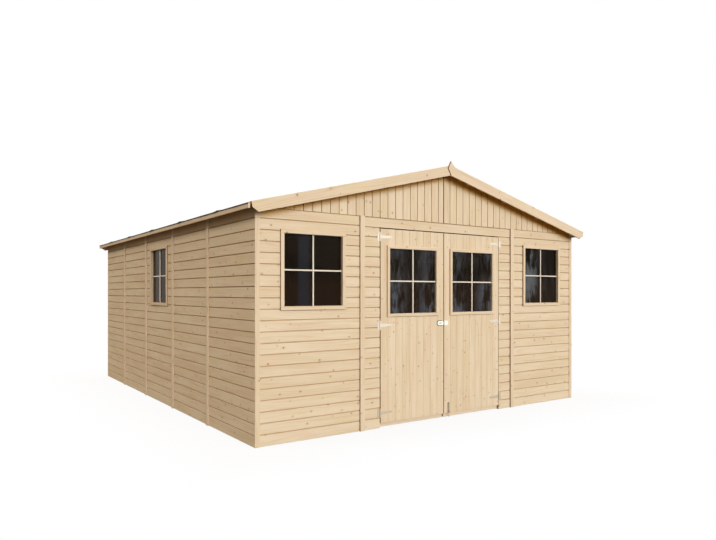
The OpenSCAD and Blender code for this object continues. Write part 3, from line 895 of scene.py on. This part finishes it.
def gable(end, wood):
    """Upright boards in two halves, under the roof and round the purlins."""
    timber = Timber(end + "_gable_boards")
    out = -Y_AXIS if end == "front" else Y_AXIS
    wall = axes((0, out.y * HALF_D, 0), Z_AXIS, out)
    profile = board_profile(GABLE_PITCH, GABLE_GROOVE, GROOVE_DEPTH, BOARD_EASE)
    top = gable_outline()
    for side, first in GABLE_FIRST.items():
        low = GABLE_JOINT / 2
        high = first
        while low < HALF_W - STEP:
            edge = min(high, HALF_W)
            shift = GABLE_PITCH - (high - low) if low < first else 0
            look = timber.look()
            face = clip(profile, shift, shift + edge - low)
            if shift:
                face = [(shift, -BOARD_EASE), (shift + 2 * BOARD_EASE, 0)] + face[1:]
            places = [low + y - shift for y, _ in face]
            places += [d for d, _ in top if low + STEP < d < edge - STEP]
            rows = []
            for d in sorted(places):
                height = max(level(top, d), WALL_H + STEP)
                rows.append((side * d, level(face, d - low + shift), -BOARD_T, WALL_H, height))
            # Painted shade on the edge of the first board at the middle joint.
            timber.strip(rows, wall, look, (low < first, False))
            low = edge
            high = edge + GABLE_PITCH
    timber.done("building", wood, "boards", end + "_gable")


def door_leaf(side, window, wood):
    """Upright boards of one leaf, cut round its window."""
    node = side + "_door_leaf"
    low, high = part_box(node)
    high.z -= DOOR_TRIM
    if side == "left":
        low.x += DOOR_TRIM
        high.x -= MEETING_TRIM
    else:
        low.x += MEETING_TRIM
    timber = Timber(side + "_door_boards")
    pitch = (high.x - low.x) / DOOR_BOARDS
    profile = board_profile(pitch, DOOR_GROOVE, DOOR_GROOVE_DEPTH, DOOR_EASE)
    thick = high.y - low.y
    x0, x1, y0, y1 = window.hole()
    for i in range(DOOR_BOARDS):
        right = high.x - i * pitch
        place = axes((right, -HALF_D, 0), Z_AXIS, -Y_AXIS)
        hole = (y0, y1, right - x1, right - x0)
        # Painted shade on the leaf's two outer edges, in the gaps beside it.
        rims = (i == 0, i == DOOR_BOARDS - 1)
        lay_board(timber, place, profile, low.z, high.z, thick, hole, rims)
    timber.done(side + "_door", wood, "boards", node)


def door_ledges(side, wood):
    """Ledges of one leaf, with painted shadow where its boards cover them."""
    node = side + "_door_ledges"
    timber = Timber(side + "_door_rails")
    timber.copy(node, X_AXIS)
    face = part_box(node)[0].y
    for vert in timber.bm.verts:
        if vert.co.y < face + STEP and vert.co.z > LEDGE_SHADE:
            vert[timber.dark] = CONTACT
    timber.done(side + "_door", wood, "framing", node)


def roof_deck(side, wood):
    """Boards that run down the slope, with their grooved face to the room."""
    sign = SIDES[side]
    along = Vector((sign * math.cos(PITCH), 0, -math.sin(PITCH)))
    out = Vector((-sign * math.sin(PITCH), 0, -math.cos(PITCH)))
    timber = Timber("roof_boards_" + side)
    count = round(2 * DECK_HALF / DECK_PITCH)
    pitch = 2 * DECK_HALF / count
    profile = board_profile(pitch, DECK_GROOVE, DECK_GROOVE, BOARD_EASE)
    start = RIDGE_GAP + SLOPE * DECK_T
    end = DECK_EDGE / math.cos(PITCH)
    stations = [(y, z, -DECK_T, start, end) for y, z in profile]
    for i in range(count):
        place = axes((0, -DECK_HALF + i * pitch, DECK_UNDER), along, out)
        if sign > 0:
            place = place @ Matrix.Translation((0, -pitch, 0))
        timber.strip(stations, place, timber.look())
    timber.done("building", wood, "framing", "roof_deck_" + side)


# Roof felt


def slope_path(reach, steps):
    """Points from the ridge down the right-hand slope, each with the way out of the roof."""
    lean = Vector((math.sin(PITCH), 0, math.cos(PITCH)))
    path = []
    for i in range(steps + 1):
        x = reach * i / steps
        path.append((Vector((x, 0, DECK_TOP - SLOPE * x)), lean if i else Z_AXIS))
    return path


def mirrored(path):
    """A path from the left edge over the ridge to the right edge."""
    left = [(Vector((-p.x, 0, p.z)), Vector((-n.x, 0, n.z))) for p, n in path[1:]]
    return left[::-1] + path


def sheet(bm, path, edges, lift, wobble):
    """A thin closed sheet over a path, with rows along Y and a height for each place."""
    top, under = [], []
    for k, (spot, out) in enumerate(path):
        top.append([])
        under.append([])
        for i, y in enumerate(edges):
            base = spot + Vector((0, y, 0)) + wobble(k, i, spot, y)
            height = lift(spot, y)
            under[k].append(bm.verts.new(base + out * height))
            top[k].append(bm.verts.new(base + out * (height + FELT_T)))
    last_k, last_i = len(path) - 1, len(edges) - 1
    for k in range(last_k):
        for i in range(last_i):
            bm.faces.new((top[k][i], top[k][i + 1], top[k + 1][i + 1], top[k + 1][i]))
            bm.faces.new((under[k][i], under[k + 1][i], under[k + 1][i + 1], under[k][i + 1]))
        for i in (0, last_i):
            bm.faces.new((top[k][i], top[k + 1][i], under[k + 1][i], under[k][i]))
    for i in range(last_i):
        for k in (0, last_k):
            bm.faces.new((top[k][i], under[k][i], under[k][i + 1], top[k][i + 1]))


def smooth(value, low, high):
    share = min(max((value - low) / (high - low), 0), 1)
    return share * share * (3 - 2 * share)


def spaced(start, end, step):
    count = max(2, round((end - start) / step))
    return [start + (end - start) * i / count for i in range(count + 1)]


def lap_height(y):
    """How far the upper strips lift anything that lies over a lap."""
    nearest = min(abs(y - lap) for lap in LAPS_Y)
    return FELT_T * smooth(nearest, FELT_LAP / 2 + FELT_SETTLE, FELT_LAP / 2)


def ripple(x, y, z):
    """Smooth noise. A constant or a strip's number keeps one use apart from another."""
    return noise.noise(Vector((x, y, z)))


def felt_strips(material):
    """Strips of felt laid over the ridge from eave to eave, folded down at both edges."""
    path = slope_path(STRIP_X - FELT_BEND, FELT_STEPS)
    corner_z = DECK_TOP - SLOPE * STRIP_X
    first, second = (corner_z - drop for drop in CORNER_DROPS)
    path.append((Vector((STRIP_X, 0, first)), Vector(FELT_CORNER)))
    for z in (second, (corner_z + FOLD_Z) / 2, FOLD_Z):
        path.append((Vector((STRIP_X, 0, z)), X_AXIS))
    path = mirrored(path)
    bm = bmesh.new()
    half_lap = FELT_LAP / 2
    bounds = [-DECK_HALF] + list(LAPS_Y) + [DECK_HALF]
    for strip, (start, end) in enumerate(zip(bounds, bounds[1:])):
        lower = strip > 0
        upper = strip < len(LAPS_Y)
        edges = spaced(start - half_lap * lower, end + half_lap * upper, FELT_ROW)

        def lift(spot, y):
            over = 0
            if lower:
                over = smooth(y, start + half_lap + FELT_SETTLE, start + half_lap) * FELT_T
                edge = smooth(y, start - half_lap + CURL_Y, start - half_lap)
                over += FELT_CURL * edge * smooth(abs(spot.x), STRIP_X - CURL_X, STRIP_X)
            wave = ripple(spot.x * WAVES_X, y * WAVES_Y, 3.0 * strip)
            return over + FELT_SEAT + FELT_WAVE * (wave + 1) / 2

        def wobble(k, i, spot, y):
            shift = Vector((0, 0, 0))
            if (i == 0 and lower) or (i == len(edges) - 1 and upper):
                shift.y = FELT_RAGGED * ripple(spot.x * RAGS["lap"], 7.0 * strip, i)
            if k in (0, len(path) - 1):
                shift.z = FELT_RAGGED * ripple(y * RAGS["eave"], spot.x, 2.0)
            return shift

        sheet(bm, path, edges, lift, wobble)
    nodes = ("roof_felt_left", "roof_felt_right")
    smooth_piece("roof_felt_strips", bm, "building", material, "felt", *nodes)


def ridge_felt(material):
    """The strip of felt along the ridge."""
    path = mirrored(slope_path(CAP_HALF, CAP_STEPS))
    bm = bmesh.new()

    def lift(spot, y):
        wave = ripple(spot.x * CAP_WAVES_X, y * CAP_WAVES_Y, 9.0)
        return FELT_T + FELT_WAVE + CAP_SEAT + lap_height(y) + CAP_SEAT * (wave + 1)

    def wobble(k, i, spot, y):
        shift = Vector((0, 0, 0))
        if k in (0, len(path) - 1):
            shift.x = FELT_RAGGED * ripple(y * RAGS["cap"], spot.x, 4.0)
        return shift

    sheet(bm, path, spaced(-DECK_HALF, DECK_HALF, CAP_ROW), lift, wobble)
    smooth_piece("ridge_felt", bm, "building", material, "felt", "ridge_cap")


# Small metal pieces


def lathe(bm, place, profile, sides):
    """A turned solid about the local Z axis, from a profile of radius and height."""
    turns = [2 * math.pi * i / sides for i in range(sides)]
    rings = []
    for radius, height in profile:
        spots = [Vector((radius * math.cos(a), radius * math.sin(a), height)) for a in turns]
        rings.append([bm.verts.new(place @ spot) for spot in spots])
    join_rings(bm, rings)


def felt_nails(material):
    """Flat nails along the laps, the eaves, the verges and the ridge strip."""
    bm = bmesh.new()

    def nail(x, y, height):
        lean = Matrix.Rotation(math.copysign(PITCH, x), 4, "Y")
        spot = Vector((x, y, DECK_TOP - SLOPE * abs(x)))
        place = Matrix.Translation(spot) @ lean @ Matrix.Translation((0, 0, height))
        lathe(bm, place, NAIL_HEAD, NAIL_SIDES)

    single = FELT_T + FELT_WAVE
    verge = DECK_HALF - NAIL_IN["verge"]
    for sign in (-1, 1):
        for x in spaced(CAP_HALF + NAIL_MARGIN, STRIP_X - NAIL_LAST, NAIL_STEP):
            for lap in LAPS_Y:
                nail(sign * x, lap - FELT_LAP / 2 + NAIL_IN["lap"], 2 * single - NAIL_SINK)
            for y in (-verge, verge):
                nail(sign * x, y, single)
        for y in spaced(-DECK_HALF + NAIL_MARGIN, DECK_HALF - NAIL_MARGIN, NAIL_STEP):
            over = lap_height(y)
            nail(sign * (STRIP_X - NAIL_IN["eave"]), y, single + over)
            nail(sign * (CAP_HALF - NAIL_IN["cap"]), y, 2 * single + NAIL_RISE + over)
    smooth_piece("felt_nails", bm, "building", material, "zinc")


def screws(name, body, spots, material, radius=SCREW_R):
    """Domed screw heads with a socket, facing the front."""
    bm = bmesh.new()
    head = [(share * radius, height) for share, height in SCREW_HEAD]
    for spot in spots:
        lathe(bm, axes(spot, X_AXIS, -Y_AXIS), head, SCREW_SIDES)
    smooth_piece(name, bm, body, material, "zinc")


def hinge_screws(mid, metal):
    """Screws of the straps on the leaves and of the plates beside the doors."""
    low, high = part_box("left_hinge_straps")
    face = -HALF_D - HINGE_T
    plates = []
    for side, sign in SIDES.items():
        straps = []
        for z in (low.z + HALF_STRAP, mid, high.z - HALF_STRAP):
            straps += [(sign * (PIN_X - reach), face, z) for reach in STRAP_SCREWS]
            for rise in (-PLATE_RISE, PLATE_RISE):
                plates.append((sign * (PIN_X + PLATE_OUT), face, z + rise))
        screws(side + "_strap_screws", side + "_door", straps, metal)
    screws("hinge_plate_screws", "building", plates, metal)


def hasp_shadow_plate(mid, shadow_colour):
    """A thin dark plate with round ends behind the hasp: painted shadow round its flap and in its
    slot.
    """
    low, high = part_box("hasp_flap")
    corner = (high.z - low.z) / 2 + HASP_SHADOW_MARGIN
    outline = []
    for centre, start in ((high.x - corner, -90), (low.x + corner - HASP_SHADOW_SHORT, 90)):
        for step in range(HASP_SHADOW_STEPS + 1):
            angle = math.radians(start + 180 * step / HASP_SHADOW_STEPS)
            outline.append((centre + corner * math.cos(angle), mid + corner * math.sin(angle)))
    bm = bmesh.new()
    rings = []
    for depth in (0.0, -HASP_SHADOW_T):
        rings.append([bm.verts.new((x, -HALF_D + depth, z)) for x, z in outline])
    join_rings(bm, rings)
    smooth_piece("hasp_shadow_plate", bm, "left_door", shadow_colour, "zinc")


def hardware(metal, shadow_colour):
    """The dark plate behind the hasp, a painted shadow, and the screws of the hinges, the hasp
    and the floor bolt.
    """
    low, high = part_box("hasp_flap")
    mid = (low.z + high.z) / 2
    hinge_screws(mid, metal)
    hasp_shadow_plate(mid, shadow_colour)

    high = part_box("hasp_plate")[1]
    face = -HALF_D - HASP_T
    spots = [(high.x - HASP_IN, face, mid + rise) for rise in (-HASP_RISE, HASP_RISE)]
    low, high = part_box("bolt_plate")
    in_x, in_z = BOLT_IN
    for x in (low.x + in_x, high.x - in_x):
        spots += [(x, face, z) for z in (low.z + in_z, high.z - in_z)]
    screws("hasp_and_bolt_screws", "right_door", spots, metal, SMALL_SCREW_R)


# The scene


def camera():
    data = bpy.data.cameras.new("camera")
    data.sensor_width = SENSOR
    data.lens = FOCAL_PX / IMAGE_W * SENSOR
    data.shift_y = (HORIZON_PX - IMAGE_H / 2) / IMAGE_W
    scene.camera = put("camera", data)
    scene.camera.location = CAMERA_AT
    scene.camera.rotation_euler = (math.radians(90), 0, CAMERA_TURN)


def lamp(name, power, tint, from_right, height, spread):
    data = bpy.data.lights.new(name, "SUN")
    data.energy = power
    data.color = tint
    data.angle = math.radians(spread)
    turn = math.radians(from_right)
    rise = math.radians(height)
    flat = math.cos(rise)
    travel = Vector((-math.sin(turn) * flat, math.cos(turn) * flat, -math.sin(rise)))
    put(name, data).rotation_euler = travel.to_track_quat("-Z", "Y").to_euler()


def seen_rays(tree):
    """1 for rays that show the background itself: seen, mirrored or through glass."""
    path = tree.nodes.new("ShaderNodeLightPath")
    total = path.outputs["Is Camera Ray"]
    for name in ("Is Glossy Ray", "Is Transmission Ray"):
        add = tree.nodes.new("ShaderNodeMath")
        add.operation = "MAXIMUM"
        tree.links.new(total, add.inputs[0])
        tree.links.new(path.outputs[name], add.inputs[1])
        total = add.outputs[0]
    return total


def world():
    data = bpy.data.worlds.new("world")
    scene.world = data
    data.use_nodes = True
    tree = data.node_tree
    soft = tree.nodes["Background"]
    white = tree.nodes.new("ShaderNodeBackground")
    for node, tint, strength in ((soft, SKY_TINT, SKY), (white, (1, 1, 1, 1), 1.0)):
        node.inputs["Color"].default_value = tint
        node.inputs["Strength"].default_value = strength
    mix = tree.nodes.new("ShaderNodeMixShader")
    tree.links.new(seen_rays(tree), mix.inputs[0])
    tree.links.new(soft.outputs[0], mix.inputs[1])
    tree.links.new(white.outputs[0], mix.inputs[2])
    tree.links.new(mix.outputs[0], tree.nodes["World Output"].inputs[0])


def floor():
    """A pale floor that keeps a soft shadow near the shed and turns white further away."""
    bm = bmesh.new()
    bmesh.ops.create_grid(bm, x_segments=1, y_segments=1, size=FLOOR_SIZE)
    mesh = bpy.data.meshes.new("floor")
    bm.to_mesh(mesh)
    bm.free()
    item = put("floor", mesh)
    item.location.z = -FLOOR_DROP

    s = Shader("floor")
    seen = seen_rays(s.tree)
    tone = s.spread(seen, 0.0, 1.0, FLOOR_BOUNCE, FLOOR_TONE)
    s.set(Base_Color=tone, Roughness=1.0, Specular_IOR_Level=0.0)
    glow = s.add("Emission", {"Color": (1, 1, 1, 1), "Strength": 1.0})
    x, y, _ = s.parts(s.object_place())
    past_x = s.math("SUBTRACT", s.math("ABSOLUTE", x), HALF_W)
    past_y = s.math("SUBTRACT", s.math("ABSOLUTE", y), HALF_D)
    far = s.math("MAXIMUM", past_x, past_y)
    share = s.times(s.spread(far, 0.0, GLOW_REACH, GLOW_NEAR, 1.0), seen)
    mix = s.add("MixShader", {0: share, 1: s.surface.outputs[0], 2: glow.outputs[0]})
    s.tree.links.new(mix.outputs[0], s.tree.nodes["Material Output"].inputs[0])
    mesh.materials.append(s.material)


def paint_nodes(material, *names):
    """Gives CAD nodes that stay in sight their material."""
    for name in names:
        for slot in frame["nodes"][name].material_slots:
            slot.material = material


def plain_copy(piece, node, grain, material, slot, wall=None):
    """A CAD node as timber with eased edges. Where a wall is given, its sides get painted shade
    close to the wall.
    """
    timber = Timber(piece)
    timber.copy(node, grain)
    if wall is not None:
        timber.contact(wall, SIDE_H)
    timber.done("building", material, slot, node)


def barge(end, side, wood):
    """A barge board whose ends are darkened with painted shade. The one that runs under at the
    ridge leaves a joint.
    """
    sign = SIDES[side]
    node = "%s_barge_%s" % (end, side)
    board = Timber(node + "_board")
    board.copy(node, Vector((math.cos(PITCH), 0, -sign * math.sin(PITCH))), WIDE_EASE)
    board.shade_ends()
    if (end == "front") == (side == "left"):
        for vert in board.bm.verts:
            if abs(vert.co.x) < BARGE_LAP:
                vert.co.x += sign * BARGE_JOINT
    board.done("building", wood, "trim", node)


def main():
    pale = (237, 218, 189)
    pink = (230, 198, 168)
    wood = pine("pine_boards", pale, (223, 200, 166), pink, roof_shade=True)
    door_wood = pine("pine_doors", pale, (224, 201, 167), pink, 0.9, (8.5, 10.5, 1.0))
    trim = pine("pine_trim", (237, 216, 188), (226, 203, 171), (230, 199, 171))
    rough = pine("pine_frame", (228, 202, 166), (208, 176, 134), (212, 176, 138), 0.5)
    # The roof boards' pine is a darker, deeper copy: painted shade for the soffit under the
    # eaves.
    shaded_pine = pine("pine_roof", (166, 104, 42), (142, 86, 30), (150, 92, 36), 0.5)
    paint = bar_paint()
    felt = roofing_felt()
    metal = zinc("zinc", (222, 210, 195), (204, 193, 177))
    hasp_metal = zinc("hasp_zinc", (244, 239, 230), (232, 226, 215))
    wall_glass = window_glass("wall_glass", (5, 0.5, 0.7), 0.64, 1.1)
    door_glass = window_glass("door_glass", (11, 11, 4), 0.42, 0.62)

    door_glass_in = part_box("left_door_glass")[0].y + HALF_D
    walls = {"left": LEFT, "right": RIGHT}
    shapes = [(side, wall, CASING_W, BOARD_T, CONTACT_H) for side, wall in walls.items()]
    shapes += [("front_" + side, FRONT, CASING_W, BOARD_T, SIDE_H) for side in SIDES]
    shapes += [(side + "_door", FRONT, DOOR_CASING_W, door_glass_in, CONTACT_H) for side in SIDES]
    windows = {name: Window(name + "_window_frame", *shape) for name, *shape in shapes}
    for name, window in windows.items():
        window.build(name if name.endswith("door") else "building", trim, paint)

    ends = (-HALF_D, HALF_D)
    for side, wall in walls.items():
        nodes = (side + "_wall_panels", side + "_window_panel")
        panel_wall(side, wall, HALF_D, SIDE_PANELS, ends, nodes, wood, windows[side].hole())
    low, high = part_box("back_wall_panels")
    ends = (low.x, high.x)
    panel_wall("back", BACK, HALF_W, BACK_PANELS, ends, ("back_wall_panels",), wood)
    front_wall(windows, wood)
    for end in ("front", "back"):
        gable(end, wood)
    for side in SIDES:
        door_leaf(side, windows[side + "_door"], door_wood)
        roof_deck(side, shaded_pine)
        door_ledges(side, trim)

    for side, wall in (("front", FRONT), ("back", BACK), ("left", None), ("right", None)):
        plain_copy(side + "_battens", side + "_cover_battens", Z_AXIS, trim, "trim", wall)
    plain_copy("corner_boards", "corner_trims", Z_AXIS, trim, "trim")
    plain_copy("eave_boards", "eave_strips", Y_AXIS, trim, "trim")
    for end in ("front", "back"):
        for side in SIDES:
            barge(end, side, trim)
    upright = ("side_wall_studs", "end_wall_studs")
    lying = ("window_rails", "eave_plates", "purlins", "ridge_beam")
    for node in ("base_sills", "top_plates") + upright + lying:
        grain = Z_AXIS if node in upright else Y_AXIS
        plain_copy(node + "_timber", node, grain, rough, "framing")

    felt_strips(felt)
    ridge_felt(felt)
    felt_nails(metal)
    hardware(metal, hasp_shadow_dark())
    paint_nodes(wall_glass, "wall_window_glass")
    paint_nodes(door_glass, "left_door_glass", "right_door_glass")
    paint_nodes(metal, "hinge_plates", "left_hinge_straps", "right_hinge_straps")
    paint_nodes(metal, "bolt_plate", "bolt_rod")
    paint_nodes(hasp_metal, "hasp_flap", "hasp_staple", "hasp_plate")

    camera()
    for name, settings in LAMPS.items():
        lamp(name, *settings)
    world()
    floor()
    scene.view_settings.view_transform = "Standard"


main()
